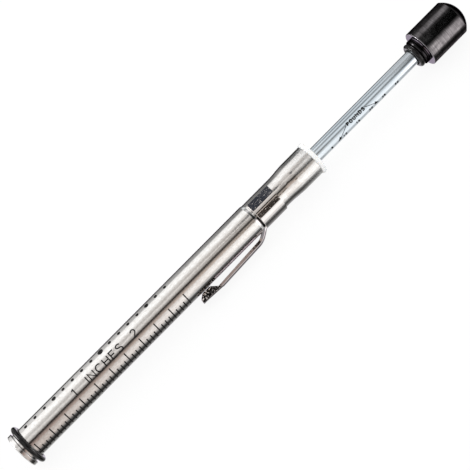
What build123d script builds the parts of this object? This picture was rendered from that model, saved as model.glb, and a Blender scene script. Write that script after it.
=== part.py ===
from build123d import *
import math
import os

# Track tension gauge, lying along +X with the middle of its foot's face at the origin.
# Lengths are millimetres. Positions along the tool are counted from the foot's face.

# Foot
foot_diameter = 11.9
foot_thickness = 1.6
foot_edge_round = 0.3
spigot_length = 5.4
pilot_height = 1.6

# Barrel tube
barrel_diameter = 10.6
tube_wall = 0.5
tube_length = 124.9
flare_diameter = 11.05
flare_length = 7.5
taper_length = 6.3
neck_diameter = 10.24
neck_length = 11.7
neck_entry_length = 0.9
rim_round = 0.15

# Nylon bushing in the flared mouth
bushing_flange_diameter = 12.0
bushing_flange_thickness = 1.5
bushing_flange_round = 0.45
bushing_body_length = 7.2
bushing_mouth_chamfer = 0.35

# Plunger rod
rod_diameter = 5.2
rod_reach_inside = 83.0
rod_reach_outside = 46.6
rod_end_chamfer = 0.6
stud_diameter = 4.0
stud_length = 8.0
groove_diameter = 3.9
plunger_travel = 34.8

# Knob
hub_diameter = 9.3
hub_height = 1.8
hub_groove_depth = 0.3
hub_groove_width = 0.45
knob_diameter = 12.9
knob_height = 14.4
knob_dome_height = 3.3
knob_edge_round = 0.25
stud_hole_spare_depth = 1.0

# Rubber rings
ring_section_diameter = 1.78
deflection_ring_gap = 0.6

# Retaining ring and spring guide
retaining_ring_diameter = 8.4
retaining_ring_thickness = 0.8
retaining_ring_relief = 0.35
retaining_ring_mouth = 3.4
prong_width = 1.5
guide_flange_diameter = 8.8
guide_flange_thickness = 1.2
guide_sleeve_length = 4.0

# Compression spring
spring_wire = 1.4
spring_mean_diameter = 7.6
active_coils = 22.6
closed_coils_per_end = 1.0
points_per_coil = 8

# Pocket clip
sheet_thickness = 0.3
band_length = 8.9
band_inset = 0.6
band_flat_angle = 23.0
band_hold_angle = 17.5
band_end_length = 2.45
band_crease_round = 2.5
band_edge_round = 0.18
clip_reach = 30.4
arm_width = 4.4
arm_depth_at_band = 1.65
arm_depth_at_tip = 1.35
arm_corner_round = 0.6
wall_splay = 9.0
arm_bend_reach = 3.8
arm_standoff = 2.62
arm_spread = 0.7
arm_tip_drop = 0.45
arm_lift_round = 1.0
arm_bend_round = 7.0
toe_round_share = 0.6
boss_reach = 8.2
boss_round = 1.2
boss_lead_length = 3.2
boss_rest_length = 3.3
boss_width = 3.3
boss_toe_height = 1.3
tip_wall_depth = 0.8
tip_wall_round = 0.4

# Clearances
running_fit = 0.05
ring_grip_gap = 0.03
seated_gap = 0.02
stop_gap = 0.05
clip_rest_gap = 0.08
pilot_gap = 0.12

# Positions worked out from the sizes above
barrel_radius = barrel_diameter / 2
neck_radius = neck_diameter / 2
flare_radius = flare_diameter / 2
rod_radius = rod_diameter / 2
rim_x = foot_thickness + tube_length
flare_x = rim_x - flare_length
taper_x = flare_x - taper_length
neck_x = taper_x - neck_length
seat_x = foot_thickness + spigot_length
bushing_foot_x = rim_x - bushing_body_length
bushing_top_x = rim_x + bushing_flange_thickness
hub_x = bushing_top_x + rod_reach_outside
knob_x = hub_x + hub_height
shoulder_x = knob_x + knob_height
knob_top_x = shoulder_x + knob_dome_height
retaining_ring_x = bushing_foot_x - stop_gap - retaining_ring_thickness
guide_x = retaining_ring_x - stop_gap - guide_flange_thickness
ring_section_radius = ring_section_diameter / 2
deflection_ring_x = foot_thickness + deflection_ring_gap + ring_section_radius
deflection_ring_path = barrel_radius + ring_grip_gap + ring_section_radius
force_ring_x = hub_x - stop_gap - ring_section_radius
force_ring_path = rod_radius + ring_grip_gap + ring_section_radius
spring_inner_radius = (spring_mean_diameter - spring_wire) / 2
pilot_radius = spring_inner_radius - pilot_gap
band_x = neck_x + band_inset
clip_tip_x = band_x - clip_reach
band_inner_radius = (neck_radius + seated_gap) / math.cos(math.radians(band_flat_angle / 2))
band_outer_radius = band_inner_radius + sheet_thickness
band_root_x = band_x + 2 * sheet_thickness
arm_bend_x = band_x - arm_bend_reach
arm_bend_radius = barrel_radius + arm_standoff
boss_x = clip_tip_x + boss_reach
arm_boss_radius = arm_bend_radius + arm_spread


def turned(edges):
    """Turns a closed outline in the XY plane round the tool's axis."""
    return revolve(make_face(Wire(edges)), axis=Axis.X)


def ring_along_x(start, length, outer_radius, inner_radius):
    """A plain washer or sleeve whose lower face is at start."""
    outline = Polyline(
        (start, inner_radius),
        (start + length, inner_radius),
        (start + length, outer_radius),
        (start, outer_radius),
        close=True,
    )
    return turned(outline.edges())


def make_barrel_tube():
    """One wall thickness all along: the neck and the flare are rolled into a drawn tube."""

    def wall_line(inset):
        entry = (neck_x - neck_entry_length, barrel_radius - inset)
        neck_start = (neck_x, neck_radius - inset)
        neck_end = (taper_x, neck_radius - inset)
        flare_start = (flare_x, flare_radius - inset)
        along = [(1, 0), (1, 0)]
        return [
            Line((foot_thickness, barrel_radius - inset), entry),
            Spline(entry, neck_start, tangents=along),
            Line(neck_start, neck_end),
            Spline(neck_end, flare_start, tangents=along),
        ]

    outer = wall_line(0)
    inner = wall_line(tube_wall)
    rim = [
        Line((flare_x, flare_radius), (rim_x - rim_round, flare_radius)),
        RadiusArc((rim_x - rim_round, flare_radius), (rim_x, flare_radius - rim_round), rim_round),
        Line((rim_x, flare_radius - rim_round), (rim_x, flare_radius - tube_wall)),
        Line((rim_x, flare_radius - tube_wall), (flare_x, flare_radius - tube_wall)),
    ]
    foot_end = Line((foot_thickness, barrel_radius - tube_wall), (foot_thickness, barrel_radius))
    return turned(outer + rim + inner + [foot_end])


def make_foot_plug():
    """Flange, spigot inside the tube, and a pilot that centres the spring."""
    flange = Pos(foot_thickness / 2, 0, 0) * Rot(0, 90, 0) * Cylinder(foot_diameter / 2, foot_thickness)
    flange = fillet(flange.edges().filter_by(GeomType.CIRCLE), foot_edge_round)
    spigot_radius = barrel_radius - tube_wall - seated_gap
    spigot = Pos((foot_thickness + seat_x) / 2, 0, 0) * Rot(0, 90, 0) * Cylinder(spigot_radius, spigot_length)
    spigot = chamfer(spigot.edges().group_by(Axis.X)[-1], tube_wall / 2)
    pilot = Pos(seat_x + pilot_height / 2, 0, 0) * Rot(0, 90, 0) * Cylinder(pilot_radius, pilot_height)
    pilot = chamfer(pilot.edges().group_by(Axis.X)[-1], pilot_height / 4)
    return flange + spigot + pilot


def make_top_bushing():
    """White nylon bushing: the body fills the flared mouth and the flange caps the rim."""
    bore = rod_radius + running_fit
    body_radius = flare_radius - tube_wall - seated_gap
    flange_radius = bushing_flange_diameter / 2
    body = ring_along_x(bushing_foot_x, bushing_body_length, body_radius, bore)
    flange = ring_along_x(rim_x, bushing_flange_thickness, flange_radius, bore)
    outside = flange.edges().filter_by(GeomType.CIRCLE).group_by(SortBy.RADIUS)[-1]
    flange = fillet(outside, bushing_flange_round)
    bushing = body + flange
    mouth = [e for e in bushing.edges().group_by(Axis.X)[-1] if e.radius < body_radius / 1.5]
    return chamfer(mouth, bushing_mouth_chamfer)


def make_plunger_rod():
    """Rod with a guided inner end, a groove for the retaining ring and a stud inside the knob."""
    end_x = bushing_top_x - rod_reach_inside
    stud_radius = stud_diameter / 2
    groove_start = retaining_ring_x - seated_gap
    groove_end = retaining_ring_x + retaining_ring_thickness + seated_gap
    stud_end = hub_x + stud_length
    outline = Polyline(
        (end_x, 0),
        (end_x, rod_radius - rod_end_chamfer),
        (end_x + rod_end_chamfer, rod_radius),
        (groove_start, rod_radius),
        (groove_start, groove_diameter / 2),
        (groove_end, groove_diameter / 2),
        (groove_end, rod_radius),
        (hub_x, rod_radius),
        (hub_x, stud_radius),
        (stud_end - rod_end_chamfer, stud_radius),
        (stud_end, stud_radius - rod_end_chamfer),
        (stud_end, 0),
        close=True,
    )
    return turned(outline.edges())


def make_knob():
    """Domed knob turned from bar, with a grooved hub that the small ring rests against."""
    knob_radius = knob_diameter / 2
    hub_radius = hub_diameter / 2
    hole_radius = stud_diameter / 2 + seated_gap
    hole_end = hub_x + stud_length + stud_hole_spare_depth
    dome_radius = (knob_radius**2 + knob_dome_height**2) / (2 * knob_dome_height)
    groove_mid = hub_x + hub_height / 2
    groove_half = hub_groove_width / 2
    edges = Polyline(
        (hole_end, 0),
        (hole_end, hole_radius),
        (hub_x, hole_radius),
        (hub_x, hub_radius - knob_edge_round),
        (hub_x + knob_edge_round, hub_radius),
        (groove_mid - groove_half, hub_radius),
        (groove_mid, hub_radius - hub_groove_depth),
        (groove_mid + groove_half, hub_radius),
        (knob_x, hub_radius),
        (knob_x, knob_radius - knob_edge_round),
    ).edges()
    edges += [
        RadiusArc(
            (knob_x, knob_radius - knob_edge_round),
            (knob_x + knob_edge_round, knob_radius),
            knob_edge_round,
        ),
        Line((knob_x + knob_edge_round, knob_radius), (shoulder_x, knob_radius)),
        RadiusArc((shoulder_x, knob_radius), (knob_top_x, 0), dome_radius),
        Line((knob_top_x, 0), (hole_end, 0)),
    ]
    return turned(edges)


def make_rubber_ring(centre_x, path_radius):
    section = Pos(centre_x, path_radius) * Circle(ring_section_radius)
    return revolve(section, axis=Axis.X)


def make_retaining_ring():
    """E-shaped ring: three prongs reach the bottom of the groove, and the mouth faces up."""
    outer = Circle(retaining_ring_diameter / 2)
    relief = Circle(rod_radius + retaining_ring_relief)
    groove = Circle(groove_diameter / 2 + seated_gap)
    reach = rod_radius + retaining_ring_relief
    prong = Pos(reach / 2, 0) * Rectangle(reach, prong_width)
    flat = outer - relief
    for angle in (150, 270, 390):
        flat += Rot(0, 0, angle) * prong
    flat -= groove
    flat -= Pos(0, retaining_ring_diameter / 2) * Rectangle(retaining_ring_mouth, retaining_ring_diameter)
    face = Plane(origin=(retaining_ring_x, 0, 0), x_dir=(0, 1, 0), z_dir=(1, 0, 0)) * flat
    return extrude(face, retaining_ring_thickness, dir=(1, 0, 0))


def make_spring_guide():
    """Brass sleeve on the rod: its flange carries the spring's end, its sleeve keeps the spring central."""
    bore = rod_radius + running_fit
    flange = ring_along_x(guide_x, guide_flange_thickness, guide_flange_diameter / 2, bore)
    sleeve = ring_along_x(guide_x - guide_sleeve_length, guide_sleeve_length, pilot_radius, bore)
    return flange + sleeve


def make_plunger_spring():
    """Squared ends lie one wire apart, and the active coils share what is left."""
    wire_radius = spring_wire / 2
    start = seat_x + seated_gap + wire_radius
    end = guide_x - seated_gap - wire_radius
    closed_rise = spring_wire * closed_coils_per_end
    pitch = (end - start - 2 * closed_rise) / active_coils
    coils = active_coils + 2 * closed_coils_per_end
    steps = round(coils * points_per_coil)

    def rise(turns):
        if turns < closed_coils_per_end:
            return spring_wire * turns
        if turns > coils - closed_coils_per_end:
            return end - start - spring_wire * (coils - turns)
        return closed_rise + pitch * (turns - closed_coils_per_end)

    points = []
    for step in range(steps + 1):
        turns = coils * step / steps
        angle = 2 * math.pi * turns
        across = spring_mean_diameter / 2
        points.append((start + rise(turns), across * math.cos(angle), across * math.sin(angle)))
    path = Spline(points)
    section = Plane(origin=path @ 0, z_dir=path % 0) * Circle(wire_radius)
    return sweep(section, path=path, is_frenet=True)


def band_line(radius):
    """Half of the band's section, from the arm round to the free end: arc, pressed flat, arc, straight end."""
    crown = Vector(0, radius)
    flat_start = Vector(radius, 0).rotate(Axis.Z, band_flat_angle)
    flat_end = Vector(radius, 0)
    hold = Vector(radius, 0).rotate(Axis.Z, -band_hold_angle)
    free_end = hold + Vector(0, -band_end_length).rotate(Axis.Z, -band_hold_angle)
    return [
        RadiusArc(crown, flat_start, radius),
        Line(flat_start, flat_end),
        RadiusArc(flat_end, hold, radius),
        Line(hold, free_end),
    ]


def band_core(half_line, length):
    """Solid inside one line of the band's section, closed straight across the opening."""
    mirrored = [mirror(edge, about=Plane.YZ).edge() for edge in half_line]
    closing = Line(half_line[-1] @ 1, mirrored[-1] @ 1)
    flat = make_face(Wire(half_line + mirrored + [closing]))
    creases = flat.vertices().filter_by_position(Axis.Y, -seated_gap, band_inner_radius / 2)
    flat = fillet(creases, band_crease_round)
    face = Plane(origin=(band_x, 0, 0), x_dir=(0, 1, 0), z_dir=(1, 0, 0)) * flat
    return extrude(face, length, dir=(1, 0, 0))


def make_clip_band():
    """C-band gripping the neck with its flats, open on the side away from the arm. The arm points to +Z here."""
    outer = band_line(band_outer_radius)
    inner = band_line(band_inner_radius)
    through_end = inner[-1] @ 1 + (outer[-1] @ 1 - inner[-1] @ 1) * 3
    inner.append(Line(inner[-1] @ 1, through_end))
    filled = band_core(outer, band_length)
    filled = fillet(filled.edges().group_by(Axis.X)[0], band_edge_round)
    return filled - band_core(inner, band_length)


def clip_line():
    """Outer face of the arm in side view: it leaves the band's lower edge, bends out and runs to the tip."""
    return FilletPolyline(
        (band_root_x, 0, band_outer_radius),
        (band_x, 0, band_outer_radius),
        (arm_bend_x, 0, arm_bend_radius),
        (boss_x, 0, arm_boss_radius),
        (clip_tip_x, 0, arm_boss_radius - arm_tip_drop),
        radius=[arm_lift_round, arm_bend_round, arm_bend_round],
    )


def arm_outline(inset):
    """Channel's outer form, or its hollow. The crown keeps the band's curve and the walls turn towards +Y."""
    radius = band_outer_radius - inset
    half_width = arm_width / 2 - inset
    depth = arm_depth_at_band + arm_corner_round + inset
    crown_drop = band_outer_radius - math.sqrt(radius**2 - half_width**2)
    foot = half_width + (depth - crown_drop) * math.tan(math.radians(wall_splay))
    edges = [
        ThreePointArc((-half_width, crown_drop), (0, inset), (half_width, crown_drop)),
        Line((half_width, crown_drop), (foot, depth)),
        Line((foot, depth), (-foot, depth)),
        Line((-foot, depth), (-half_width, crown_drop)),
    ]
    face = make_face(Wire(edges))
    return fillet(face.vertices().group_by(Axis.Y)[0], arm_corner_round - inset)


def make_arm_channel():
    """One section carried along the arm's line, with its walls still too deep."""
    path = Wire(clip_line().edges())
    plane = Plane(origin=path @ 0, x_dir=(0, 1, 0), z_dir=path % 0)
    return sweep(plane * (arm_outline(0) - arm_outline(sheet_thickness)), path=path)


def barrel_room():
    """The space that the arm's walls leave free for the barrel and its neck."""
    outline = Polyline(
        (clip_tip_x - boss_reach, 0),
        (clip_tip_x - boss_reach, barrel_radius + clip_rest_gap),
        (neck_x - neck_entry_length, barrel_radius + clip_rest_gap),
        (neck_x, neck_radius + seated_gap),
        (band_x + band_length, neck_radius + seated_gap),
        (band_x + band_length, 0),
        close=True,
    )
    return turned(outline.edges())


def wall_cut():
    """What is cut from the channel's walls in side view: they get lower and stop beside the pressed tip."""
    wall_end_x = boss_x - boss_lead_length / 3
    past_tip_x = clip_tip_x - boss_reach
    low = neck_radius / 2
    profile = FilletPolyline(
        (band_root_x, band_outer_radius - arm_depth_at_band),
        (band_x, band_outer_radius - arm_depth_at_band),
        (arm_bend_x, arm_bend_radius - arm_depth_at_band),
        (wall_end_x, arm_boss_radius - arm_depth_at_tip),
        (wall_end_x - tip_wall_depth / 2, arm_boss_radius - tip_wall_depth),
        (past_tip_x, arm_boss_radius - tip_wall_depth - arm_tip_drop),
        radius=[arm_lift_round, arm_bend_round - arm_depth_at_band, tip_wall_round, tip_wall_round],
    )
    corners = [profile @ 1, (past_tip_x, low), (band_root_x, low), profile @ 0]
    side = make_face(Wire(profile.edges() + Polyline(corners).edges()))
    return extrude(Plane.XZ * side, amount=arm_width, both=True)


def toe_plan(root_half_width, tip_half_width, tip_x):
    """Plan that runs from the band to a rounded toe."""
    outline = Polyline(
        (band_root_x, root_half_width),
        (tip_x, tip_half_width),
        (tip_x, -tip_half_width),
        (band_root_x, -root_half_width),
        close=True,
    )
    plan = make_face(outline)
    plan = fillet(plan.vertices().group_by(Axis.X)[0], tip_half_width * toe_round_share)
    return extrude(plan, arm_boss_radius * 2)


def make_clip_boss(inset):
    """Pressed tip that rests near the barrel, or its hollow when inset is the sheet's thickness."""
    rest = barrel_radius + clip_rest_gap + inset
    lead_x = boss_x - boss_lead_length
    toe_x = lead_x - boss_rest_length
    above = arm_boss_radius + sheet_thickness
    profile = FilletPolyline(
        (boss_x - inset, above),
        (boss_x - inset, arm_boss_radius - sheet_thickness),
        (lead_x - inset / 2, rest),
        (toe_x + inset / 2, rest),
        (clip_tip_x + inset, rest + boss_toe_height),
        (clip_tip_x + inset, above),
        radius=[boss_round / 2, boss_round, boss_round, boss_round],
    )
    close = Line(profile @ 1, profile @ 0)
    side = extrude(Plane.XZ * make_face(Wire(profile.edges() + [close])), amount=boss_width, both=True)
    half_width = boss_width / 2 - inset
    lid = arm_boss_radius - sheet_thickness / 2
    section = Ellipse(half_width, lid - rest)
    if inset:
        section += Pos(0, half_width) * Rectangle(2 * half_width, 2 * half_width)
    else:
        section &= Pos(0, -band_outer_radius) * Circle(band_outer_radius - sheet_thickness / 2)
    front = Plane(origin=(boss_x, 0, lid), x_dir=(0, 1, 0), z_dir=(1, 0, 0)) * section
    slope = Vector(-boss_reach, 0, -arm_tip_drop)
    plan = toe_plan(half_width, half_width, clip_tip_x + inset)
    return side & extrude(front, slope.length, dir=slope) & plan


def make_pocket_clip():
    """Band, channelled arm and pressed tip of one sheet, made with the arm at +Z and then turned."""
    toe_half_width = arm_width / 2 + tip_wall_depth * math.tan(math.radians(wall_splay))
    arm = make_arm_channel() - wall_cut() - barrel_room()
    arm &= toe_plan(arm_width, toe_half_width, clip_tip_x)
    tongue = arm + make_clip_boss(0) - make_clip_boss(sheet_thickness)
    clip = make_clip_band() + tongue
    return Rot(90 + clip_turn(), 0, 0) * clip


def clip_turn():
    """Degrees below the horizontal at which the arm's corner rests on the same table as the ring and the knob."""
    corner_side = arm_width / 2 - arm_corner_round
    corner_drop = band_outer_radius - math.sqrt((band_outer_radius - arm_corner_round) ** 2 - corner_side**2)
    corner_radius = arm_boss_radius - corner_drop
    ring_reach = deflection_ring_path + ring_section_radius
    along = (boss_x - deflection_ring_x) / (shoulder_x - deflection_ring_x)
    table = ring_reach + (knob_diameter / 2 - ring_reach) * along
    reach = math.hypot(corner_radius, corner_side)
    lean = math.asin((table - arm_corner_round) / reach)
    return math.degrees(lean - math.atan2(corner_side, corner_radius))


parts = {
    "barrel_tube": make_barrel_tube(),
    "foot_plug": make_foot_plug(),
    "top_bushing": make_top_bushing(),
    "pocket_clip": make_pocket_clip(),
    "deflection_ring": make_rubber_ring(deflection_ring_x, deflection_ring_path),
    "plunger_rod": make_plunger_rod(),
    "knob": make_knob(),
    "force_ring": make_rubber_ring(force_ring_x, force_ring_path),
    "retaining_ring": make_retaining_ring(),
    "spring_guide": make_spring_guide(),
    "plunger_spring": make_plunger_spring(),
}

os.makedirs("parts", exist_ok=True)
for name, part in parts.items():
    export_step(part, f"parts/{name}.step")
    print(name, round(part.volume, 2), "mm3")
print("clip turned", round(clip_turn(), 2), "degrees below the horizontal")
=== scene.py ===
# %% [markdown]
# # A track tension gauge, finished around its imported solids
#
# The gauge is a pen-sized tool: a nickel barrel with an inch scale, a spring-loaded rod with a black
# knob that comes out of it, two rubber rings that mark a reading, and a pocket clip. The solids come
# ready made and in place, in metres, with the tool lying along +X and its foot at the origin. This
# lesson gives them their finishes, prints the scales on them, winds the spring and sets up a picture.
# Nothing that is loaded is moved or reshaped: new pieces are made to fit it.

# %% Load the solids
import bpy
import bmesh
import math
from mathutils import Matrix, Vector


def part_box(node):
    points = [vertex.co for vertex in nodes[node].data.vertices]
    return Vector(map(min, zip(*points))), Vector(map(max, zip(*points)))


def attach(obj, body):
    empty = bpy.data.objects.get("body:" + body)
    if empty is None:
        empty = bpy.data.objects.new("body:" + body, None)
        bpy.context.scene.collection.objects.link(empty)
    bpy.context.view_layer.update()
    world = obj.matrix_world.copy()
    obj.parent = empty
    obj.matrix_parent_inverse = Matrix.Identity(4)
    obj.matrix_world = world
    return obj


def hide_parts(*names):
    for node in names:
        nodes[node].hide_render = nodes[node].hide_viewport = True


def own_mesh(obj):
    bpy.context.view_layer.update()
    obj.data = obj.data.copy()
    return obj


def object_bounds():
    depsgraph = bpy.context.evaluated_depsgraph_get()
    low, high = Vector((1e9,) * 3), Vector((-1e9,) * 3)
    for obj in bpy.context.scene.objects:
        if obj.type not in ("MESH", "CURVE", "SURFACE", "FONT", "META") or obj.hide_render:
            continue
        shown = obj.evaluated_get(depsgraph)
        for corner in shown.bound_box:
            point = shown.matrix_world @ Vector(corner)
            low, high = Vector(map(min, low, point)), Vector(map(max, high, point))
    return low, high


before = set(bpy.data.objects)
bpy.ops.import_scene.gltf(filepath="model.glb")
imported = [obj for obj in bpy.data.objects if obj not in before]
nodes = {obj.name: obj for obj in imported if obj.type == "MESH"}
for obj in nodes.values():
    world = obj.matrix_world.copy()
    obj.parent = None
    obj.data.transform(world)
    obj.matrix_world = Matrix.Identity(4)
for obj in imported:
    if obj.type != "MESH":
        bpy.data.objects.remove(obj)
cad_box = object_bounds()
MM = 0.001

# %% [markdown]
# ## Measuring the tool
#
# Radii and ends are read from the solids, so that a mark lies on the metal whatever size the metal has.
# The widest point of a turned piece gives its radius. The clip's arm stands off the barrel on one side
# only, so the middle of its outermost points says which way the clip is turned. A few lengths are named
# here as well, because a finish changes there: from the clip's tip to its arm and on to its band, and
# from the knob's hub to its grip and on to its dome.

# %% Read radii, lengths and the clip's direction
def radius_between(node, x_from, x_to):
    """Largest distance from the tool's axis of a node's points between two stations."""
    points = [v.co for v in nodes[node].data.vertices if x_from <= v.co.x <= x_to]
    return max(math.hypot(p.y, p.z) for p in points)


TIP_LENGTH = 8.0 * MM
TIP_AND_ARM_LENGTH = 30.0 * MM
BAND_LENGTH = 8.9 * MM
GRIP_AND_DOME_LENGTH = 17.7 * MM
DOME_FROM, DOME_TO = 3.6 * MM, 2.6 * MM
ARM_SHARE = 0.9

clip_low, clip_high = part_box("pocket_clip")
rod_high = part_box("plunger_rod")[1]
tool_end = cad_box[1].x
barrel_radius = radius_between("barrel_tube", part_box("barrel_tube")[0].x, clip_low.x)
rod_radius = max(rod_high.y, rod_high.z)
tip_end = clip_low.x + TIP_LENGTH
arm_root = clip_low.x + TIP_AND_ARM_LENGTH
band_edge = clip_high.x - BAND_LENGTH
grip_start = tool_end - GRIP_AND_DOME_LENGTH

clip_points = [v.co for v in nodes["pocket_clip"].data.vertices]
outermost = max(math.hypot(p.y, p.z) for p in clip_points)
arm = [p for p in clip_points if math.hypot(p.y, p.z) > ARM_SHARE * outermost]
clip_side = Vector((0, sum(p.y for p in arm), sum(p.z for p in arm))).normalized()
tool_way = Vector((1, 0, 0))
face_side = clip_side.cross(tool_way)
print("barrel radius mm", round(barrel_radius / MM, 3), "rod radius mm", round(rod_radius / MM, 3))
print("clip is turned", round(math.degrees(math.atan2(-clip_side.z, -clip_side.y)), 2), "degrees down")

# %% [markdown]
# ## The camera
#
# The picture shows the tool from the foot's side a little: the underside of the knob is just seen, so
# the line of sight leans a few degrees along the tool. The tool rises from the lower left corner to the
# upper right, which is a roll of the camera about its own line of sight. A telephoto lens a little
# under half a metre away keeps the tool's sides nearly parallel and still draws one end a little larger.

# %% Place the camera
lean = math.radians(5.3)
roll = math.radians(45.22)
aim_along, aim_across = 0.0931, 0.00022
aim = tool_way * aim_along - clip_side * aim_across
camera_distance = 0.432
lens_mm, sensor_mm = 106.5, 36

sight = tool_way * math.sin(lean) - face_side * math.cos(lean)
along = tool_way * math.cos(lean) + face_side * math.sin(lean)
picture_right = along * math.cos(roll) + clip_side * math.sin(roll)
picture_up = along * math.sin(roll) - clip_side * math.cos(roll)

camera_data = bpy.data.cameras.new("camera")
camera_data.lens = lens_mm
camera_data.sensor_width = sensor_mm
camera_data.clip_start, camera_data.clip_end = 0.01, 20
camera = bpy.data.objects.new("camera", camera_data)
bpy.context.scene.collection.objects.link(camera)
turn = Matrix((picture_right, picture_up, -sight)).transposed().to_4x4()
camera.matrix_world = Matrix.Translation(aim - sight * camera_distance) @ turn
bpy.context.scene.camera = camera
bpy.context.scene.view_settings.view_transform = "Standard"
print("camera at", tuple(round(c, 3) for c in camera.location))

# %% [markdown]
# ## Helpers for materials
#
# A finish is a tree of shader nodes. These helpers add one node at a time and join them by name, so
# that a recipe below reads as a short list. All patterns use object coordinates, which are metres in
# the tool's own frame: a noise scale of 2000 then means spots half a millimetre wide.

# %% Node helpers
def new_tree(name):
    """A new material, its tree and its Principled shader."""
    made = bpy.data.materials.new(name)
    made.use_nodes = True
    return made, made.node_tree, made.node_tree.nodes["Principled BSDF"]


def add(tree, kind, settings=None, **inputs):
    """Adds a shader node. Settings are its own fields, inputs are values or sockets by socket name."""
    node = tree.nodes.new(kind)
    for field, value in (settings or {}).items():
        setattr(node, field, value)
    for label, value in inputs.items():
        socket = node.inputs[label.replace("_", " ")]
        if isinstance(value, bpy.types.NodeSocket):
            tree.links.new(value, socket)
        else:
            socket.default_value = value
    return node


def object_points(tree, stretch=(1, 1, 1)):
    """Object coordinates, squeezed or stretched before they reach a pattern."""
    coordinates = add(tree, "ShaderNodeTexCoord")
    mapping = add(tree, "ShaderNodeMapping", Vector=coordinates.outputs["Object"])
    mapping.inputs["Scale"].default_value = stretch
    return mapping.outputs["Vector"]


def noise(tree, spots_per_metre, detail=2.0, stretch=(1, 1, 1)):
    """Cloudy noise from 0 to 1."""
    pattern = add(tree, "ShaderNodeTexNoise", Vector=object_points(tree, stretch), Scale=spots_per_metre,
                  Detail=detail)
    return pattern.outputs["Fac"]


def spread(tree, value, low, high, start=0.3, stop=0.7):
    """Maps a pattern's middle range onto low to high."""
    mapped = add(tree, "ShaderNodeMapRange", Value=value)
    mapped.inputs["From Min"].default_value = start
    mapped.inputs["From Max"].default_value = stop
    mapped.inputs["To Min"].default_value = low
    mapped.inputs["To Max"].default_value = high
    return mapped.outputs["Result"]


def blend_colours(tree, value, first, second):
    """Goes from the first colour to the second as value goes from 0 to 1."""
    ramp = add(tree, "ShaderNodeValToRGB", Fac=value)
    ramp.color_ramp.elements[0].color = (*first, 1)
    ramp.color_ramp.elements[1].color = (*second, 1)
    return ramp.outputs["Color"]


def mix_colours(tree, share, first, second):
    """Goes from one pattern's colour to another's as the share goes from 0 to 1."""
    both = add(tree, "ShaderNodeMix", {"data_type": "RGBA"}, Factor=share)
    tree.links.new(first, both.inputs[6])
    tree.links.new(second, both.inputs[7])
    return both.outputs[2]


def joined(tree, operation, first, second):
    """One value from two, such as their product or the larger of them."""
    node = add(tree, "ShaderNodeMath", {"operation": operation})
    tree.links.new(first, node.inputs[0])
    tree.links.new(second, node.inputs[1])
    return node.outputs[0]


def along_tool(tree):
    """How far along the tool a point lies, in metres from the foot's face."""
    return add(tree, "ShaderNodeSeparateXYZ", Vector=object_points(tree)).outputs["X"]


def part_towards(tree, vector, direction):
    """How far a vector reaches in a direction."""
    node = add(tree, "ShaderNodeVectorMath", {"operation": "DOT_PRODUCT"})
    tree.links.new(vector, node.inputs[0])
    node.inputs[1].default_value = direction
    return node.outputs["Value"]


def raised(tree, height, depth, under=None):
    """A bump of a real depth in metres, over another bump if one is given."""
    bump = add(tree, "ShaderNodeBump", Height=height, Distance=depth, Strength=1.0)
    if under is not None:
        tree.links.new(under, bump.inputs["Normal"])
    return bump.outputs["Normal"]


def paint_ramp(tree, value, stops, colour):
    """Tones of a colour at several places. The value 0 stands for the first place and 1 for the last."""
    first, last = stops[0][0], stops[-1][0]
    ramp = add(tree, "ShaderNodeValToRGB", Fac=value)
    elements = ramp.color_ramp.elements
    while len(elements) < len(stops):
        elements.new(0.5)
    for element, (place, tone) in zip(elements, stops):
        element.position = (place - first) / (last - first)
    for element, (place, tone) in zip(elements, stops):
        element.color = (*(tone * part for part in colour), 1)
    return ramp.outputs["Color"]


print("helpers ready")

# %% [markdown]
# ## Nickel on the drawn barrel
#
# The barrel is a drawn steel tube with a satin nickel plate. Nickel is a warm, pale metal. The drawing
# leaves very fine lines along the tube, and the plate has a fine orange-peel that breaks up the edge of
# every reflection. So the recipe is a metal with two bumps: long thin noise for the drawn lines and
# small round noise for the peel. Roughness changes a little from place to place, as handling does. A thin
# line of painted shade darkens the groove below the clip's band, on the side of its arm.

# %% Satin nickel
GROOVE_FROM, GROOVE_TO = band_edge - 0.6 * MM, band_edge + 0.1 * MM


def satin_nickel():
    made, tree, metal = new_tree("satin_nickel")
    metal.inputs["Metallic"].default_value = 1.0
    stain = noise(tree, 2400, detail=4, stretch=(0.5, 1, 1))
    plate = blend_colours(tree, spread(tree, stain, 0, 1), (0.71, 0.685, 0.66), (0.91, 0.90, 0.885))
    # Painted shade: a near-black colour for the thin dark line in the groove below the band.
    groove_shade = blend_colours(tree, stain, (0.006, 0.005, 0.005), (0.03, 0.027, 0.026))
    x = along_tool(tree)
    begun = spread(tree, x, 0, 1, GROOVE_FROM - 0.35 * MM, GROOVE_FROM)
    not_over = spread(tree, x, 1, 0, GROOVE_TO, GROOVE_TO + 0.2 * MM)
    towards_clip = part_towards(tree, object_points(tree), clip_side)
    on_arm_side = spread(tree, towards_clip, 0, 1, 0.4 * MM, 0.9 * MM)
    # Where the painted shade lies: in the groove, on the side of the clip's arm.
    in_groove = joined(tree, "MULTIPLY", begun, not_over)
    groove_shade_mask = joined(tree, "MULTIPLY", in_groove, on_arm_side)
    tree.links.new(mix_colours(tree, groove_shade_mask, plate, groove_shade), metal.inputs["Base Color"])
    lines = noise(tree, 4200, detail=3, stretch=(0.03, 1, 1))
    peel = noise(tree, 2300, detail=2)
    wear = noise(tree, 260, detail=3, stretch=(0.3, 1, 1))
    tree.links.new(spread(tree, wear, 0.09, 0.14), metal.inputs["Roughness"])
    peel_bump = raised(tree, peel, 9e-6)
    tree.links.new(raised(tree, lines, 2.5e-6, under=peel_bump), metal.inputs["Normal"])
    return made


print("made", satin_nickel.__name__)
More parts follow.
